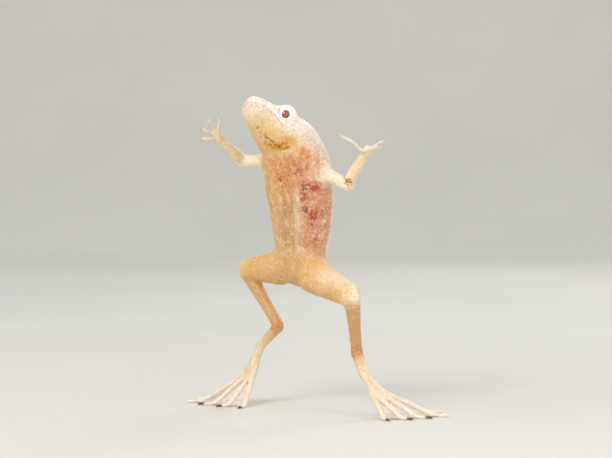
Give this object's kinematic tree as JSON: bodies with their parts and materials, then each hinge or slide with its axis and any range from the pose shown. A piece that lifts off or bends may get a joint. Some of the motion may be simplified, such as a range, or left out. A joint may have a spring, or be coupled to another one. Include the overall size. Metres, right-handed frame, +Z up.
{
  "type": "clawed frog",
  "caption": "Still life-size model of a standing clawed frog: flattened body, both arms raised, long hind legs with webbed feet and small claws.",
  "frame": {"origin": "on the floor, under the middle of the frog's bounding box", "axes": "+Z up from the floor, along the standing frog; -Y towards the side the picture shows; +X towards the picture's right"},
  "size_m": [0.052, 0.0352, 0.0619],
  "materials": {
    "skin_pale": "moist skin, cream white, finely grained",
    "skin_belly": "moist translucent skin, orange tan with pink veins",
    "skin_leg": "moist translucent skin, yellow orange",
    "skin_limb": "moist translucent skin, pale cream",
    "eye": "wet, white ring round a red-brown pupil",
    "claw": "smooth dark horn"
  },
  "bodies": {
    "root": {"head": "skin_pale", "lower_jaw": "skin_pale", "torso": "skin_belly", "eye_left": "eye", "eye_right": "eye", "upper_arm_left": "skin_limb", "forearm_left": "skin_limb", "hand_left": "skin_limb", "upper_arm_right": "skin_limb", "forearm_right": "skin_limb", "hand_right": "skin_limb", "thigh_left": "skin_leg", "shank_left": "skin_leg", "ankle_left": "skin_leg", "foot_left": "skin_limb", "claw_left_1": "claw", "claw_left_2": "claw", "claw_left_3": "claw", "thigh_right": "skin_leg", "shank_right": "skin_leg", "ankle_right": "skin_leg", "foot_right": "skin_limb", "claw_right_1": "claw", "claw_right_2": "claw", "claw_right_3": "claw"}
  },
  "joints": []
}
